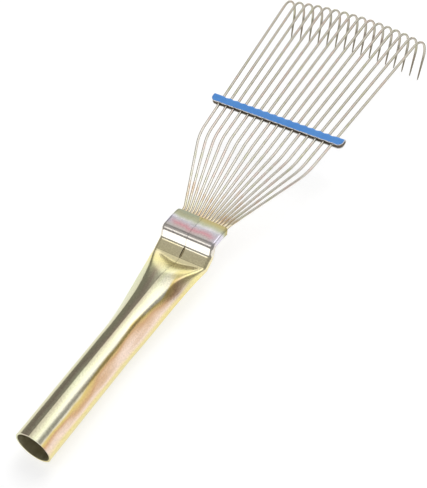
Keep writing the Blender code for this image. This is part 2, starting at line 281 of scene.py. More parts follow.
class RakeColours(PropertyGroup):
    """Colours of the finishes."""

    bore: colour("Bore", "Unrubbed zinc inside the socket", "D8D2B8")
    bore_stain: colour("Bore stain", "Stains of thicker film inside the socket", "B0A680")
    wire_gold: colour("Gold wire", "Thick chromate on the wire at the clamp", "F2E2BE")
    wire: colour("Wire", "Pale chromate on zinc-plated wire", "FBF6EC")
    wire_dull: colour("Dull wire", "Wire where its chromate has dulled", "CCC6B8")
    # Painted shade on the wire's sides, also used for the darker low ends of the hooks
    wire_shade_and_dim: colour("Wire sides", "Unrubbed or soiled wire", "8A8474")
    paint: colour("Paint", "Coil paint of the spreader bar", "4D96E8")
    paint_rubbed: colour("Rubbed paint", "Coil paint where it has been handled", "5A9FEC")
    bare_steel: colour("Bare steel", "Sheared edge of the painted strip", "F2F2F0")
    cut_steel: colour("Cut steel", "Streaks in the sheared edge", "CCCAC6")
    # Backing coat, its dark tone partly painted shade inside the folded strip
    primer: colour("Primer", "Backing coat inside the folded strip", "A89B8C")
    primer_thin: colour("Thin primer", "Backing coat where it covers less", "C6BAAC")
    floor: colour("Floor", "Pale studio floor", "BBBBBB")


class RakeStudio(PropertyGroup):
    """Camera, lamp and floor."""

    lens: FloatProperty(name="Lens", description="Focal length", default=92.21, unit="CAMERA")
    camera_place: FloatVectorProperty(
        name="Camera place", description="Where the camera stands", default=(0.27703, -0.32868, 0.49816),
        subtype="TRANSLATION", precision=4)
    camera_turn: FloatVectorProperty(
        name="Camera turn", description="How the camera is turned",
        default=(math.radians(39.680), math.radians(6.779), math.radians(32.657)), subtype="EULER")
    lamp_towards: FloatVectorProperty(
        name="Lamp direction", description="From the rake to the lamp", default=(0.02, 0.54, 0.84),
        subtype="DIRECTION")
    lamp_distance: length("Lamp distance", "From the rake to the lamp", 1400.0)
    lamp_size: length("Lamp size", "Width of the lamp", 1000.0)
    lamp_power: FloatProperty(name="Lamp power", description="Output of the lamp", default=5.0, unit="POWER")
    floor_size: length("Floor size", "Width of the floor", 12000.0)


def rounded_path(corners, radii, run_step=None):
    """Points and directions along straight runs, with an arc of the given radius at each inner corner."""
    path = []

    def add_run(start, end, direction):
        count = max(1, math.ceil((end - start).length / run_step)) if run_step else 1
        path.extend((start.lerp(end, step / count), direction) for step in range(count))

    last = corners[0]
    for before, corner, after, radius in zip(corners, corners[1:], corners[2:], radii):
        towards = (corner - before).normalized()
        away = (after - corner).normalized()
        turn = towards.angle(away)
        inwards = (away - towards * towards.dot(away)).normalized()
        start = corner - towards * radius * math.tan(turn / 2)
        add_run(last, start, towards)
        count = max(1, math.ceil(turn / ARC_STEP))
        for step in range(count + 1):
            turned = turn * step / count
            forwards = towards * math.sin(turned) + inwards * (1 - math.cos(turned))
            last = start + radius * forwards
            if step < count:
                path.append((last, towards * math.cos(turned) + inwards * math.sin(turned)))
    direction = (corners[-1] - corners[-2]).normalized()
    add_run(last, corners[-1], direction)
    path.append((corners[-1], direction))
    return path


def ease(share):
    """Smooth rise from 0 to 1."""
    share = min(1.0, max(0.0, share))
    return share * share * (3 - 2 * share)


def ramp_rise(share):
    """Rise of the ramp from 0 to 1: a short curve at its foot, a slope and a long curve at its head."""
    share = min(1.0, max(0.0, share))
    if share < RAMP_FOOT_CURVE:
        risen = share ** 2 / (2 * RAMP_FOOT_CURVE)
    else:
        head = 1 - RAMP_HEAD_CURVE
        into_head = max(0.0, share - head)
        risen = share - RAMP_FOOT_CURVE / 2 - into_head ** 2 / (2 * RAMP_HEAD_CURVE)
    return risen / (1 - RAMP_FOOT_CURVE / 2 - RAMP_HEAD_CURVE / 2)


def clamp_sizes(handle, tines):
    """Height and width of the clamp, and half the width of its flat faces."""
    height = tines.wire + 2 * (handle.clearance + handle.sheet)
    width = (tines.count - 1) * (tines.wire + tines.gap) + height + 2 * handle.side_room
    return height, width, (width - height) / 2


def clamp_corners(handle):
    """Corners of the line midway between the clamp's walls, from the lip to the end of its rear band."""
    lip = Vector((0, -handle.lip_behind_bar, -handle.lip_drop))
    droop = lip + Vector((0, -handle.droop_run, handle.droop_rise))
    crest = droop + Vector((0, -handle.platform_run, handle.platform_rise))
    crease = crest + Vector((0, -handle.step_run, -handle.step_fall))
    band_end = crease + Vector((0, -handle.band_run, -handle.band_fall))
    return lip, droop, crest, crease, band_end


def clamp_radii(handle):
    """Radii of the clamp's three bends, from the lip backwards."""
    return [handle.droop_radius, handle.step_radius, handle.crease_radius]


def socket_axis(handle):
    """Start of the socket's axis below the end of the clamp, with its backward and upward directions."""
    backwards = Vector((0, -math.cos(handle.pitch), math.sin(handle.pitch)))
    upwards = Vector((0, math.sin(handle.pitch), math.cos(handle.pitch)))
    return clamp_corners(handle)[-1] - upwards * handle.axis_drop, backwards, upwards


def set_down(handle):
    """The move from the rake's own frame to the table, found from the mount on the socket's rear rim."""
    mount = frame["record"]["mounts"][0]
    start, backwards, upwards = socket_axis(handle)
    rim = start + backwards * (handle.transition + handle.tube_length)
    rim -= upwards * (handle.tube - handle.sheet) / 2
    turn = Matrix.Rotation(handle.pitch - math.asin(mount["axis"][2]), 4, "X")
    return Matrix.Translation(Vector(mount["pos_m"]) - turn @ rim) @ turn


def tine_place(tines, index):
    """Where a tine stands in the row, from -1 at the left outer tine to 1 at the right one."""
    return 2 * index / (tines.count - 1) - 1


def splay_point(tines, handle, place):
    """Where a tine starts to fan out, a little way in front of the clamp's lip."""
    lip, droop = clamp_corners(handle)[:2]
    across = Vector((place * (tines.count - 1) * (tines.wire + tines.gap) / 2, 0, 0))
    return lip + (lip - droop).normalized() * tines.lip_to_splay + across


def tine_run(tines, handle, place):
    """Bend and start of the hook of a tine. Every tine has the same length of wire in each run."""
    splay = splay_point(tines, handle, place)
    bend_across = place * tines.span_at_bend / 2
    fan_forwards = math.sqrt(tines.fan ** 2 - (bend_across - splay.x) ** 2 - splay.z ** 2)
    bend = Vector((bend_across, splay.y + fan_forwards, 0))
    hook_across = place * tines.span_at_hook / 2
    run_forwards = math.sqrt(tines.run ** 2 - (hook_across - bend_across) ** 2)
    return bend, Vector((hook_across, bend.y + run_forwards, 0))


def tine_points(tines, handle, index):
    """Centre line of one tine: tail in the clamp, splay, bend, straight run, hook and tip."""
    _, droop, crest, crease, band_end = clamp_corners(handle)
    place = tine_place(tines, index)
    splay = splay_point(tines, handle, place)
    tail = band_end + (crease - band_end).normalized() * tines.tail_inset
    inside = [corner + Vector((splay.x, 0, 0)) for corner in (tail, crease, crest, droop)]
    bend, hook_start = tine_run(tines, handle, place)
    run = (hook_start - bend).normalized()
    tangent = tines.hook_radius * math.tan(tines.hook_turn / 2)
    hook = hook_start + run * tangent
    down = run * math.cos(tines.hook_turn) + Vector((0, 0, -math.sin(tines.hook_turn)))
    point = hook + down * (tangent + tines.tip - tines.point)
    radii = [*reversed(clamp_radii(handle)), tines.splay_radius, tines.bend_radius, tines.hook_radius]
    path = rounded_path([*inside, splay, bend, hook, point], radii)
    return [spot for spot, _ in path] + [point + down * tines.point]


def girth_shares(flat, fold, seam):
    """Where the points of a handle section lie, as shares of the sheet's half girth from the seam round."""
    stops = (seam / 2, flat, flat + fold, 2 * flat + fold)
    shares = []
    for start, end, count in zip(stops, stops[1:], (FLAT_COLUMNS, FOLD_COLUMNS, FLAT_COLUMNS)):
        shares.extend(start + (end - start) * step / count for step in range(count))
    shares.append(stops[-1])
    return [(place - stops[0]) / (stops[-1] - stops[0]) for place in shares]


def half_section(half_width, rise, fall, flat_above, flat_below, gap, tilt, roundness, shares):
    """Right half of a handle section, from the seam's edge at the top round to the middle of the bottom.

    The section is nearly straight at its top, where it may lean like a crowned roof, and straight at its
    bottom. A quarter turn of sheet leads from each straight to the widest point, which is at height 0. With a
    roundness of 1 the upper one is like part of a circle, and with 0 it is a straight flank with a tight fold
    at its foot.
    """
    shoulder_pull = SHOULDER_HANDLE + (QUARTER_HANDLE - SHOULDER_HANDLE) * roundness
    fold_pull = FOLD_HANDLE + (QUARTER_HANDLE - FOLD_HANDLE) * roundness
    lean = math.tan(tilt)
    shoulder = Vector((flat_above, rise - flat_above * lean))
    meeting = Vector((half_width, shoulder.y - (half_width - flat_above) * lean * (1 + ROOF_CROWN)))
    side = Vector((half_width, 0))
    foot = Vector((flat_below, -fall))
    corner = Vector((half_width, -fall))
    points = []
    for step in range(ROOF_SAMPLES):
        x = gap / 2 + (flat_above - gap / 2) * step / ROOF_SAMPLES
        points.append(Vector((x, rise - x * lean * (1 - ROOF_CROWN + ROOF_CROWN * x / flat_above))))
    turns = (
        (shoulder, meeting, side, shoulder_pull, fold_pull),
        (side, corner, foot, QUARTER_HANDLE, QUARTER_HANDLE),
    )
    for begin, bend, finish, pull_out, pull_in in turns:
        points += interpolate_bezier(
            begin, begin.lerp(bend, pull_out), finish.lerp(bend, pull_in), finish, SECTION_SAMPLES)
    points.append(Vector((0, -fall)))
    lengths = [0.0]
    for before, after in zip(points, points[1:]):
        lengths.append(lengths[-1] + (after - before).length)
    section = []
    index = 0
    for share in shares:
        wanted = share * lengths[-1]
        while index < len(lengths) - 2 and lengths[index + 1] < wanted:
            index += 1
        span = lengths[index + 1] - lengths[index]
        along = (wanted - lengths[index]) / span if span else 0.0
        section.append(points[index].lerp(points[index + 1], min(1.0, along)))
    return section


def transition_section(handle, tines, behind, shares):
    """Height of the widest point and half section of the sheet, some way behind the clamp."""
    height, width, flat = clamp_sizes(handle, tines)
    clamp_top = handle.axis_drop + height / 2
    clamp_bottom = handle.axis_drop - height / 2
    radius = handle.tube / 2
    share = min(1.0, behind / handle.transition)
    filled = ease(share)
    top = clamp_top + (radius - clamp_top) * ramp_rise(behind / handle.ramp)
    bottom = clamp_bottom - (clamp_bottom + radius) * filled
    middle = handle.axis_drop * (1 - filled)
    half_width = radius + (width / 2 - radius) * (1 - share) ** WIDTH_EASE
    tilt = handle.seam_tilt * ease(behind / handle.ridge)
    flat_above = handle.seam_flat + (flat - handle.seam_flat) * math.exp(-behind / handle.narrowing)
    flat_below = flat * (1 - share) ** BELLY_EASE
    roundness = max(1 - ramp_rise(behind / handle.ramp), share ** ROUNDING_EASE)
    section = half_section(half_width, top - middle, middle - bottom, flat_above, flat_below, handle.seam,
                           tilt, roundness, shares)
    return middle, section


def lagging_section(handle, tines, behind, shares):
    """Section behind the clamp, with a ramp that starts later at the seam than at the folds, as a V."""
    flat = clamp_sizes(handle, tines)[2]
    middle, section = transition_section(handle, tines, behind, shares)
    left_over = 1 - behind / handle.transition
    for index, point in enumerate(section):
        nearness = 1 - point.x / flat
        if nearness < 0 or point.y < 0:
            break
        lag = handle.ramp_foot * ease(nearness) * left_over
        later_middle, later = transition_section(handle, tines, max(0.0, behind - lag), shares)
        dip = math.tan(handle.foot_slope) * min(behind, lag) * (1 - ramp_rise((behind - lag) / handle.ramp))
        section[index] = later[index] + Vector((0, later_middle - middle - dip))
    return middle, section


def handle_stations(handle, tines):
    """Centre, up direction and half section of each station of the handle, from the lip to the rear end."""
    height, width, flat = clamp_sizes(handle, tines)
    shares = girth_shares(flat, math.pi * height / 2, handle.seam)
    corners = clamp_corners(handle)
    crease = corners[3]
    stations = []
    for point, direction in rounded_path(corners, clamp_radii(handle), CLAMP_STEP):
        along_band = (crease.y - point.y) / handle.band_run
        opening = ease(min(along_band * SLOT_OPENING, (1 - along_band) * SLOT_OPENING))
        gap = handle.seam + (handle.slot - handle.seam) * opening
        section = half_section(width / 2, height / 2, height / 2, flat, flat, gap, 0.0, 1.0, shares)
        stations.append([point, Vector((0, direction.z, -direction.y)), section])
    start, backwards, upwards = socket_axis(handle)
    stations[-1][1] = (stations[-1][1] + upwards).normalized()
    count = math.ceil(handle.transition / TRANSITION_STEP)
    for step in range(1, count + 1):
        behind = handle.transition * step / count
        middle, section = lagging_section(handle, tines, behind, shares)
        stations.append([start + backwards * behind + upwards * middle, upwards, section])
    count = math.ceil(handle.tube_length / TUBE_STEP)
    for step in range(1, count + 1):
        behind = handle.transition + handle.tube_length * step / count
        stations.append([start + backwards * behind, upwards, stations[-1][2]])
    return stations


def strip_rows(bar, tines):
    """Rows of the folded strip's middle surface: (y, z, inset of the ends, share of the scallop)."""
    fold_radius = tines.wire / 2 + bar.clearance + bar.sheet / 2
    fold_centre = bar.depth / 2 - fold_radius - bar.sheet / 2
    edge = -bar.depth / 2
    leaf = []
    for step in range(STRIP_LEAF_ROWS + 1):
        turned = math.pi / 2 * step / STRIP_LEAF_ROWS
        inset = bar.corner_radius * (1 - math.sin(turned))
        leaf.append((edge + bar.corner_radius * (1 - math.cos(turned)), inset))
    rows = [(y, -fold_radius, inset, 0.0) for y, inset in leaf]
    for step in range(STRIP_FOLD_ROWS + 1):
        turned = math.pi * (step / STRIP_FOLD_ROWS - 0.5)
        nose = math.cos(turned)
        rows.append((fold_centre + fold_radius * nose, fold_radius * math.sin(turned), 0.0, nose))
    rows += [(y, fold_radius, inset, 0.0) for y, inset in reversed(leaf)]
    return rows


def place_grid(bm, columns, rows, place):
    """Make a flat grid, move each corner to where place(column, row) says, and tell which corner is which."""
    cells = {}
    grid = bmesh.ops.create_grid(bm, x_segments=columns, y_segments=rows, size=1.0)
    for vert in grid["verts"]:
        column = round((vert.co.x + 1) / 2 * columns)
        row = round((vert.co.y + 1) / 2 * rows)
        vert.co = place(column, row)
        cells[vert] = (column, row)
    bmesh.ops.recalc_face_normals(bm, faces=bm.faces)
    return cells


def add_piece(name, data, materials, nodes):
    """Add a finished piece that rides with the solids and stands for some of them."""
    for material in materials:
        data.materials.append(material)
    piece = bpy.data.objects.new(name, data)
    bpy.context.scene.collection.objects.link(piece)
    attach(piece, BODY)
    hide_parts(*nodes)
    return piece


def mesh_from(name, bm, placing):
    """Turn a shaped bmesh to a smooth mesh in its place on the table."""
    bm.transform(placing)
    mesh = bpy.data.meshes.new(name)
    bm.to_mesh(mesh)
    bm.free()
    mesh.shade_smooth()
    return mesh


def add_node(tree, kind, inputs=None, stops=None, **settings):
    """Add a node with its settings, its values or links, and the stops of its colour ramp.

    An input that is given as a node is linked to the first output that the node has in use.
    """
    node = tree.nodes.new(kind)
    for name, value in settings.items():
        setattr(node, name, value)
    for name, value in (inputs or {}).items():
        if isinstance(value, bpy.types.Node):
            value = next(output for output in value.outputs if output.enabled)
        if isinstance(value, bpy.types.NodeSocket):
            tree.links.new(value, node.inputs[name])
        else:
            node.inputs[name].default_value = value
    if stops:
        elements = node.color_ramp.elements
        while len(elements) < len(stops):
            elements.new(1.0)
        for element, (position, shade) in zip(elements, stops):
            element.position = position
            element.color = (*shade, 1.0)
    return node


def new_material(name):
    """An empty material and its node tree."""
    material = bpy.data.materials.new(name)
    material.use_nodes = True
    material.node_tree.nodes.clear()
    return material, material.node_tree


def yellow_zinc_sheet():
    """Zinc plate with a yellow chromate film: bright metal, soft green and pink clouds, painted reflections
    in its bands round the tube, painted shade on the lip, and a fine grain.
    """
    material, tree = new_material("yellow_chromate_zinc_sheet")
    place = add_node(tree, "ShaderNodeTexCoord").outputs["Object"]
    girth = add_node(tree, "ShaderNodeAttribute", attribute_name="girth").outputs["Fac"]
    along = add_node(tree, "ShaderNodeAttribute", attribute_name="along").outputs["Fac"]
    drawn_out = add_node(tree, "ShaderNodeMapping", {
        "Vector": place, "Scale": (1.0, FILM_STRETCH, 1.0)})
    clouds = add_node(tree, "ShaderNodeTexNoise", {"Vector": drawn_out, "Scale": 1 / FILM_CLOUD})
    shift = add_node(tree, "ShaderNodeMapRange", {
        "Value": clouds, **NOISE_RANGE, "To Min": -FILM_SHIFT, "To Max": FILM_SHIFT})
    round_place = add_node(tree, "ShaderNodeMath", {0: girth, 1: shift}, operation="ADD")
    round_place = add_node(tree, "ShaderNodeMapRange", {
        "Value": round_place, "From Min": -1.0, "From Max": 1.0})
    # Painted reflections: the film's stops round the tube follow the highlight, the dark band and the brown
    # band that the room reflects
    tube_film_and_reflections = add_node(tree, "ShaderNodeValToRGB", {"Fac": round_place}, stops=[
        ((1 + share) / 2, linear_colour(code)) for share, code in TUBE_FILM_AND_REFLECTIONS])
    wander = add_node(tree, "ShaderNodeMath", {0: shift, 1: FILM_WANDER}, operation="MULTIPLY")
    long_place = add_node(tree, "ShaderNodeMath", {0: wander, 1: along}, operation="ADD")
    long_place = add_node(tree, "ShaderNodeMath", {0: long_place, 1: CLAMP_FILM_LENGTH},
                          operation="DIVIDE")
    clamp_film_and_lip_shade = add_node(tree, "ShaderNodeValToRGB", {"Fac": long_place}, stops=[
        (distance * MM / CLAMP_FILM_LENGTH, linear_colour(code)) for distance, code in CLAMP_FILM_AND_LIP_SHADE])
    blend = add_node(tree, "ShaderNodeMapRange", {
        "Value": along, "From Min": TUBE_FILM_START, "From Max": CLAMP_FILM_LENGTH},
        interpolation_type="SMOOTHSTEP")
    film = add_node(tree, "ShaderNodeMix", {"Factor": blend, "A": clamp_film_and_lip_shade, "B": tube_film_and_reflections},
                    data_type="RGBA")
    on_top = add_node(tree, "ShaderNodeValToRGB", {"Fac": long_place}, stops=[
        (distance * MM / CLAMP_FILM_LENGTH, (amount,) * 3) for distance, amount in PLATFORM_WINDOW])
    from_seam = add_node(tree, "ShaderNodeMath", {0: girth}, operation="ABSOLUTE")
    at_ends = add_node(tree, "ShaderNodeMapRange", {
        "Value": from_seam, "From Min": PINK_END, "From Max": LILAC_START, "To Max": on_top},
        interpolation_type="SMOOTHSTEP")
    film = add_node(tree, "ShaderNodeMix", {
        "Factor": at_ends, "A": film, "B": (*linear_colour(LILAC_FILM), 1.0)}, data_type="RGBA")
    # Painted shade: the left half of the lip is drawn darker grey-green
    left = add_node(tree, "ShaderNodeMath", {0: round_place, 1: SEAM_PLACE}, operation="LESS_THAN")
    left_lip_shade = add_node(tree, "ShaderNodeMapRange", {
        "Value": long_place, "From Min": LIP_SHADE_END / CLAMP_FILM_LENGTH, "From Max": 0.0, "To Max": left},
        interpolation_type="SMOOTHSTEP")
    film = add_node(tree, "ShaderNodeMix", {
        "Factor": left_lip_shade, "A": film, "B": (*linear_colour(LEFT_LIP_SHADE), 1.0)},
        data_type="RGBA")
    grain = add_node(tree, "ShaderNodeTexNoise", {
        "Vector": place, "Scale": 1 / SHEET_GRAIN, "Detail": GRAIN_DETAIL})
    specks = add_node(tree, "ShaderNodeMapRange", {
        "Value": grain, **NOISE_RANGE, "To Min": SPECK_TONE})
    film = add_node(tree, "ShaderNodeMix", {"Factor": 1.0, "A": film, "B": specks}, data_type="RGBA",
                    blend_type="MULTIPLY")
    roughness = add_node(tree, "ShaderNodeMapRange", {
        "Value": grain, **NOISE_RANGE, **SHEET_ROUGHNESS})
    bump = add_node(tree, "ShaderNodeBump", {"Height": grain, "Distance": SHEET_GRAIN_DEPTH})
    shader = add_node(tree, "ShaderNodeBsdfPrincipled", {
        "Base Color": film, "Metallic": 1.0, "Roughness": roughness, "Normal": bump})
    add_node(tree, "ShaderNodeOutputMaterial", {"Surface": shader})
    return material


def dull_zinc_bore(colours):
    """Inside of the rolled sheet: zinc that was never rubbed, dull, grainy and stained by thicker film."""
    material, tree = new_material("dull_zinc_bore")
    place = add_node(tree, "ShaderNodeTexCoord").outputs["Object"]
    stains = add_node(tree, "ShaderNodeTexNoise", {"Vector": place, "Scale": 1 / BORE_STAIN})
    darkened = add_node(tree, "ShaderNodeMapRange", {"Value": stains, **NOISE_RANGE})
    film = add_node(tree, "ShaderNodeMix", {
        "Factor": darkened, "A": (*colours.bore, 1.0), "B": (*colours.bore_stain, 1.0)},
        data_type="RGBA")
    grain = add_node(tree, "ShaderNodeTexNoise", {
        "Vector": place, "Scale": 1 / SHEET_GRAIN, "Detail": GRAIN_DETAIL})
    roughness = add_node(tree, "ShaderNodeMapRange", {
        "Value": grain, **NOISE_RANGE, **BORE_ROUGHNESS})
    bump = add_node(tree, "ShaderNodeBump", {"Height": grain, "Distance": SHEET_GRAIN_DEPTH})
    shader = add_node(tree, "ShaderNodeBsdfPrincipled", {
        "Base Color": film, "Metallic": 1.0, "Roughness": roughness, "Normal": bump})
    add_node(tree, "ShaderNodeOutputMaterial", {"Surface": shader})
    return material


def yellow_zinc_wire(colours):
    """Drawn spring wire, zinc plated: a pale bright metal with fine die lines along it.

    It is golden at the clamp and duller towards its hook, with painted shade on its sides, and it is darker
    towards the low ends of its hooks and at its tip.
    """
    material, tree = new_material("yellow_chromate_zinc_wire")
    coordinates = add_node(tree, "ShaderNodeTexCoord")
    place = coordinates.outputs["Object"]
    drawn_out = add_node(tree, "ShaderNodeMapping", {
        "Vector": place, "Scale": (1.0, WIRE_STRETCH, 1.0)})
    die_lines = add_node(tree, "ShaderNodeTexNoise", {"Vector": drawn_out, "Scale": 1 / WIRE_LINE})
    clouds = add_node(tree, "ShaderNodeTexNoise", {"Vector": place, "Scale": 1 / WIRE_CLOUD})
    patchy = add_node(tree, "ShaderNodeMapRange", {
        "Value": clouds, **NOISE_RANGE, "To Min": -WIRE_PATCHES, "To Max": WIRE_PATCHES})
    along = add_node(tree, "ShaderNodeSeparateXYZ", {"Vector": place}).outputs
    forwards = add_node(tree, "ShaderNodeMapRange", {
        "Value": along["Y"], "From Min": GOLD_WIRE_START, "From Max": DULL_WIRE_START})
    dulled = add_node(tree, "ShaderNodeMath", {0: forwards, 1: patchy}, operation="ADD")
    film = add_node(tree, "ShaderNodeValToRGB", {"Fac": dulled}, stops=(
        (0.0, colours.wire_gold), (PALE_WIRE, colours.wire), (1.0, colours.wire_dull)))
    # Painted shade on the wire's sides: faces that look sideways are drawn darker
    sideways = add_node(tree, "ShaderNodeSeparateXYZ", {"Vector": coordinates.outputs["Normal"]}).outputs["X"]
    sideways = add_node(tree, "ShaderNodeMath", {0: sideways}, operation="ABSOLUTE")
    side_shade = add_node(tree, "ShaderNodeMapRange", {
        "Value": sideways, "From Min": SIDE_SHADE_START, "From Max": SIDE_SHADE_FULL})
    # Darker towards the low ends of the hooks, more so further along the rake
    lower = add_node(tree, "ShaderNodeMapRange", {
        "Value": along["Z"], "From Min": HOOK_DIM_START, "From Max": HOOK_DIM_END})
    dimmed = add_node(tree, "ShaderNodeMath", {0: lower, 1: forwards}, operation="MULTIPLY")
    # Mixes in the painted side shade and the darker low ends of the hooks
    darkened = add_node(tree, "ShaderNodeMath", {0: side_shade, 1: dimmed}, operation="MAXIMUM")
    film = add_node(tree, "ShaderNodeMix", {
        "Factor": darkened, "A": film, "B": (*colours.wire_shade_and_dim, 1.0)}, data_type="RGBA")
    tint = add_node(tree, "ShaderNodeValToRGB", {"Fac": clouds}, stops=[
        (stop, linear_colour(code)) for stop, code in WIRE_TINTS])
    film = add_node(tree, "ShaderNodeMix", {"Factor": 1.0, "A": film, "B": tint}, data_type="RGBA",
                    blend_type="MULTIPLY")
    roughness = add_node(tree, "ShaderNodeMapRange", {
        "Value": die_lines, **NOISE_RANGE, **WIRE_ROUGHNESS})
    bump = add_node(tree, "ShaderNodeBump", {"Height": die_lines, "Distance": WIRE_LINE_DEPTH})
    shader = add_node(tree, "ShaderNodeBsdfPrincipled", {
        "Base Color": film, "Metallic": 1.0, "Roughness": roughness, "Normal": bump})
    add_node(tree, "ShaderNodeOutputMaterial", {"Surface": shader})
    return material


def coil_paint(colours):
    """Coil-coated steel strip: a satin paint with a faint orange peel, rubbed through along its edges."""
    material, tree = new_material("coil_painted_steel")
    place = add_node(tree, "ShaderNodeTexCoord").outputs["Object"]
    edge = add_node(tree, "ShaderNodeAttribute", attribute_name="edge").outputs["Fac"]
    patches = add_node(tree, "ShaderNodeTexNoise", {"Vector": place, "Scale": 1 / WEAR_PATCH})
    reach = add_node(tree, "ShaderNodeMapRange", {
        "Value": patches, **NOISE_RANGE, "To Min": 0.0, "To Max": WEAR_REACH})
    worn = add_node(tree, "ShaderNodeMath", {0: edge, 1: reach}, operation="LESS_THAN")
    clouds = add_node(tree, "ShaderNodeTexNoise", {"Vector": place, "Scale": 1 / PAINT_CLOUD})
    rubbed = add_node(tree, "ShaderNodeMapRange", {"Value": clouds, **NOISE_RANGE})
    paint = add_node(tree, "ShaderNodeMix", {
        "Factor": rubbed, "A": (*colours.paint, 1.0), "B": (*colours.paint_rubbed, 1.0)},
        data_type="RGBA")
    coat = add_node(tree, "ShaderNodeMix", {"Factor": worn, "A": paint, "B": (*colours.bare_steel, 1.0)},
                    data_type="RGBA")
    peel = add_node(tree, "ShaderNodeTexNoise", {"Vector": place, "Scale": 1 / PAINT_PEEL})
    roughness = add_node(tree, "ShaderNodeMapRange", {
        "Value": peel, **NOISE_RANGE, **PAINT_ROUGHNESS})
    bump = add_node(tree, "ShaderNodeBump", {"Height": peel, "Distance": PAINT_PEEL_DEPTH})
    shader = add_node(tree, "ShaderNodeBsdfPrincipled", {
        "Base Color": coat, "Metallic": worn, "Roughness": roughness, "Normal": bump})
    add_node(tree, "ShaderNodeOutputMaterial", {"Surface": shader})
    return material


def sheared_steel(colours):
    """Sheared edge of the strip: bare bright steel with the fine upright streaks of the cut."""
    material, tree = new_material("sheared_bare_steel")
    place = add_node(tree, "ShaderNodeTexCoord").outputs["Object"]
    upright = add_node(tree, "ShaderNodeMapping", {
        "Vector": place, "Scale": (1.0, 1.0, SHEAR_STRETCH)})
    streaks = add_node(tree, "ShaderNodeTexNoise", {"Vector": upright, "Scale": 1 / SHEAR_STREAK})
    burnished = add_node(tree, "ShaderNodeMapRange", {"Value": streaks, **NOISE_RANGE})
    tone = add_node(tree, "ShaderNodeMix", {
        "Factor": burnished, "A": (*colours.cut_steel, 1.0), "B": (*colours.bare_steel, 1.0)},
        data_type="RGBA")
    roughness = add_node(tree, "ShaderNodeMapRange", {
        "Value": streaks, **NOISE_RANGE, **SHEAR_ROUGHNESS})
    bump = add_node(tree, "ShaderNodeBump", {"Height": streaks, "Distance": SHEAR_STREAK_DEPTH})
    shader = add_node(tree, "ShaderNodeBsdfPrincipled", {
        "Base Color": tone, "Metallic": 1.0, "Roughness": roughness, "Normal": bump})
    add_node(tree, "ShaderNodeOutputMaterial", {"Surface": shader})
    return material


def backing_coat_and_fold_shade(colours):
    """Thin washcoat on the inner side of the strip: a dull brown primer with a grainy, uneven cover, its dark
    tone partly painted shade inside the fold.
    """
    material, tree = new_material("primer_and_fold_shade")
    place = add_node(tree, "ShaderNodeTexCoord").outputs["Object"]
    grain = add_node(tree, "ShaderNodeTexNoise", {"Vector": place, "Scale": 1 / PAINT_PEEL})
    cover = add_node(tree, "ShaderNodeMapRange", {"Value": grain, **NOISE_RANGE})
    tone = add_node(tree, "ShaderNodeMix", {
        "Factor": cover, "A": (*colours.primer, 1.0), "B": (*colours.primer_thin, 1.0)},
        data_type="RGBA")
    roughness = add_node(tree, "ShaderNodeMapRange", {
        "Value": grain, **NOISE_RANGE, **PRIMER_ROUGHNESS})
    bump = add_node(tree, "ShaderNodeBump", {"Height": grain, "Distance": PAINT_PEEL_DEPTH})
    shader = add_node(tree, "ShaderNodeBsdfPrincipled", {
        "Base Color": tone, "Roughness": roughness, "Normal": bump})
    add_node(tree, "ShaderNodeOutputMaterial", {"Surface": shader})
    return material


class RAKE_OT_add_handle(Operator):
    """Roll the socket handle from its sheet, with its clamp, ramp and seam"""

    bl_idname = "rake.add_handle"
    bl_label = "Add handle"

    def execute(self, context):
        handle = context.scene.rake_handle
        stations = handle_stations(handle, context.scene.rake_tines)
        half_columns = len(stations[0][2]) - 1
        travelled = [0.0]
        for before, after in zip(stations, stations[1:]):
            travelled.append(travelled[-1] + (after[0] - before[0]).length)
        half_width = max(point.x for point in stations[0][2])
        backwards = (stations[1][0] - stations[0][0]).normalized()

        def place(column, row):
            centre, up, section = stations[row]
            side = 1 if column <= half_columns else -1
            point = section[column if side > 0 else 2 * half_columns - column]
            into_corner = max(0.0, 1 - (half_width - point.x) / handle.lip_corner)
            set_back = handle.lip_corner * (1 - math.sqrt(1 - into_corner ** 2))
            set_back *= max(0.0, 1 - travelled[row] / (LIP_FADE * handle.lip_corner))
            return centre + Vector((side * point.x, 0, 0)) + up * point.y + backwards * set_back

        bm = bmesh.new()
        girth = bm.verts.layers.float.new("girth")
        along = bm.verts.layers.float.new("along")
        cells = place_grid(bm, 2 * half_columns, len(stations) - 1, place)
        for vert, (column, row) in cells.items():
            vert[girth] = column / half_columns if column <= half_columns else column / half_columns - 2
            vert[along] = travelled[row]
        mesh = mesh_from("handle_sheet", bm, set_down(handle))
        materials = [yellow_zinc_sheet(), dull_zinc_bore(context.scene.rake_colours)]
        piece = add_piece("handle_sheet", mesh, materials, ["handle_socket"])
        wall = piece.modifiers.new("sheet", "SOLIDIFY")
        wall.thickness = handle.sheet
        wall.offset = -1.0
        wall.use_even_offset = True
        wall.material_offset = 1
        edges = piece.modifiers.new("edges", "BEVEL")
        edges.width = handle.edge
        edges.segments = EDGE_SEGMENTS
        edges.limit_method = "ANGLE"
        edges.angle_limit = EDGE_ANGLE
        edges.harden_normals = True
        return {"FINISHED"}


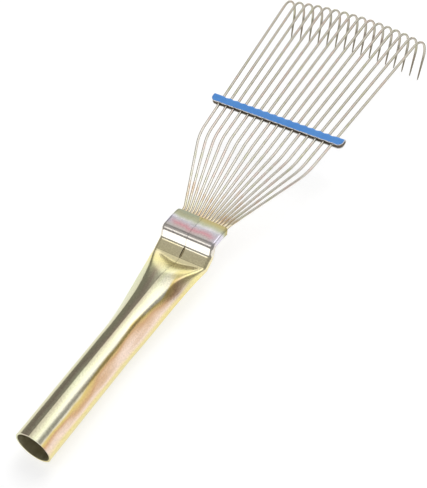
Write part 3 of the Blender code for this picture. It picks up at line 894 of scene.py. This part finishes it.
class RAKE_OT_add_tines(Operator):
    """Bend the spring wires"""

    bl_idname = "rake.add_tines"
    bl_label = "Add tines"

    def execute(self, context):
        tines = context.scene.rake_tines
        handle = context.scene.rake_handle
        placing = set_down(handle)
        material = yellow_zinc_wire(context.scene.rake_colours)
        for index in range(tines.count):
            curve = bpy.data.curves.new(f"wire_{index + 1:02d}", "CURVE")
            curve.dimensions = "3D"
            curve.bevel_depth = tines.wire / 2
            curve.bevel_resolution = WIRE_ROUNDNESS
            curve.use_fill_caps = True
            points = tine_points(tines, handle, index)
            spline = curve.splines.new("POLY")
            spline.points.add(len(points) - 1)
            for target, point in zip(spline.points, points):
                target.co = (*(placing @ point), 1.0)
            spline.points[-2].radius = tines.tip_diameter / tines.wire
            spline.points[-1].radius = tines.point_diameter / tines.wire
            spline.use_smooth = True
            add_piece(curve.name, curve, [material], [f"tine_{index + 1:02d}"])
        return {"FINISHED"}


class RAKE_OT_add_spreader(Operator):
    """Fold the painted strip over the wires"""

    bl_idname = "rake.add_spreader"
    bl_label = "Add spreader bar"

    def execute(self, context):
        bar = context.scene.rake_bar
        tines = context.scene.rake_tines
        handle = context.scene.rake_handle
        bend, hook_start = tine_run(tines, handle, 1.0)
        outer = bend.lerp(hook_start, -bend.y / (hook_start.y - bend.y)).x
        half = outer + tines.wire / 2 + bar.overhang
        pitch = 2 * outer / (tines.count - 1)
        rows = strip_rows(bar, tines)
        columns = STRIP_COLUMNS_PER_TINE * (tines.count + 1)

        def place(column, row):
            y, z, inset, nose = rows[row]
            x = (2 * column / columns - 1) * (half - inset)
            between = (1 - math.cos(2 * math.pi * (x + outer) / pitch)) / 2 if abs(x) < outer else 0.0
            return Vector((x, y - bar.scallop * nose * between, z))

        bm = bmesh.new()
        edge = bm.verts.layers.float.new("edge")
        cells = place_grid(bm, columns, len(rows) - 1, place)
        for vert, (_, row) in cells.items():
            vert[edge] = min(bar.depth / 2 + rows[row][0], half - rows[row][2] - abs(vert.co.x))
        mesh = mesh_from("spreader_strip", bm, set_down(handle))
        colours = context.scene.rake_colours
        materials = [coil_paint(colours), sheared_steel(colours), backing_coat_and_fold_shade(colours)]
        piece = add_piece("spreader_strip", mesh, materials, ["spreader_bar"])
        wall = piece.modifiers.new("sheet", "SOLIDIFY")
        wall.thickness = bar.sheet
        wall.offset = 0.0
        wall.use_even_offset = True
        wall.material_offset_rim = 1
        # The inner side takes the backing coat, whose dark tone is partly painted shade inside the fold
        wall.material_offset = 2
        return {"FINISHED"}


class RAKE_OT_add_stage(Operator):
    """Set up the pale floor, the soft lamp, the room and the camera"""

    bl_idname = "rake.add_stage"
    bl_label = "Add stage"

    def execute(self, context):
        scene = context.scene
        studio = scene.rake_studio
        scene.view_settings.view_transform = "Standard"
        self.add_floor(scene, studio)
        self.add_lamp(scene, studio)
        self.add_room(scene)
        self.add_camera(scene, studio)
        return {"FINISHED"}

    def add_floor(self, scene, studio):
        bm = bmesh.new()
        bmesh.ops.create_grid(bm, x_segments=1, y_segments=1, size=studio.floor_size / 2)
        mesh = bpy.data.meshes.new("floor")
        bm.to_mesh(mesh)
        bm.free()
        material, tree = new_material("pale_floor")
        lit = add_node(tree, "ShaderNodeBsdfDiffuse", {"Color": (*scene.rake_colours.floor, 1.0)})
        light = add_node(tree, "ShaderNodeLightPath").outputs
        seen = add_node(tree, "ShaderNodeMath", {0: light["Is Camera Ray"], 1: light["Is Glossy Ray"]},
                        operation="ADD")
        seen = add_node(tree, "ShaderNodeMath", {0: seen, 1: light["Is Transmission Ray"]},
                        operation="ADD")
        lift = add_node(tree, "ShaderNodeMath", {0: seen, 1: FLOOR_LIFT}, operation="MULTIPLY")
        glow = add_node(tree, "ShaderNodeEmission", {"Strength": lift})
        both = add_node(tree, "ShaderNodeAddShader", {0: lit, 1: glow})
        add_node(tree, "ShaderNodeOutputMaterial", {"Surface": both})
        mesh.materials.append(material)
        floor = bpy.data.objects.new("floor", mesh)
        scene.collection.objects.link(floor)

    def add_lamp(self, scene, studio):
        data = bpy.data.lights.new("lamp", "AREA")
        data.shape = "DISK"
        data.size = studio.lamp_size
        data.energy = studio.lamp_power
        lamp = bpy.data.objects.new("lamp", data)
        direction = Vector(studio.lamp_towards).normalized()
        lamp.location = direction * studio.lamp_distance
        lamp.rotation_euler = direction.to_track_quat("Z", "Y").to_euler()
        lamp.visible_glossy = False
        scene.collection.objects.link(lamp)

    def add_room(self, scene):
        world = bpy.data.worlds.new("studio_room")
        world.use_nodes = True
        tree = world.node_tree
        tree.nodes.clear()
        direction = add_node(tree, "ShaderNodeTexCoord").outputs["Generated"]
        brightness = WALL_TONE
        for towards, inner, outer, change in ROOM_PANELS:
            facing = add_node(tree, "ShaderNodeVectorMath", {0: direction, 1: Vector(towards).normalized()},
                              operation="DOT_PRODUCT")
            panel = add_node(tree, "ShaderNodeMapRange", {
                "Value": facing, "From Min": math.cos(math.radians(outer)),
                "From Max": math.cos(math.radians(inner)), "To Max": change}, interpolation_type="SMOOTHSTEP")
            brightness = add_node(tree, "ShaderNodeMath", {0: brightness, 1: panel}, operation="ADD")
        background = add_node(tree, "ShaderNodeBackground", {"Color": brightness})
        add_node(tree, "ShaderNodeOutputWorld", {"Surface": background})
        scene.world = world

    def add_camera(self, scene, studio):
        data = bpy.data.cameras.new("camera")
        data.lens = studio.lens
        camera = bpy.data.objects.new("camera", data)
        camera.location = studio.camera_place
        camera.rotation_euler = studio.camera_turn
        scene.collection.objects.link(camera)
        scene.camera = camera


class RAKE_PT_pieces(Panel):
    """Pieces of the rake, in the order in which they are made"""

    bl_label = "Wire hand rake"
    bl_idname = "RAKE_PT_pieces"
    bl_space_type = "VIEW_3D"
    bl_region_type = "UI"
    bl_category = "Rake"

    def draw(self, context):
        for operator in OPERATORS:
            self.layout.operator(operator.bl_idname)


GROUPS = {
    "rake_tines": RakeTines,
    "rake_handle": RakeHandle,
    "rake_bar": RakeBar,
    "rake_colours": RakeColours,
    "rake_studio": RakeStudio,
}
OPERATORS = (RAKE_OT_add_handle, RAKE_OT_add_tines, RAKE_OT_add_spreader, RAKE_OT_add_stage)
CLASSES = (*GROUPS.values(), *OPERATORS, RAKE_PT_pieces)


def register():
    for cls in CLASSES:
        bpy.utils.register_class(cls)
    for name, group in GROUPS.items():
        setattr(bpy.types.Scene, name, PointerProperty(type=group))


def unregister():
    for name in GROUPS:
        delattr(bpy.types.Scene, name)
    for cls in reversed(CLASSES):
        bpy.utils.unregister_class(cls)


def main():
    register()
    bpy.ops.rake.add_handle()
    bpy.ops.rake.add_tines()
    bpy.ops.rake.add_spreader()
    bpy.ops.rake.add_stage()


if __name__ == "__main__":
    main()
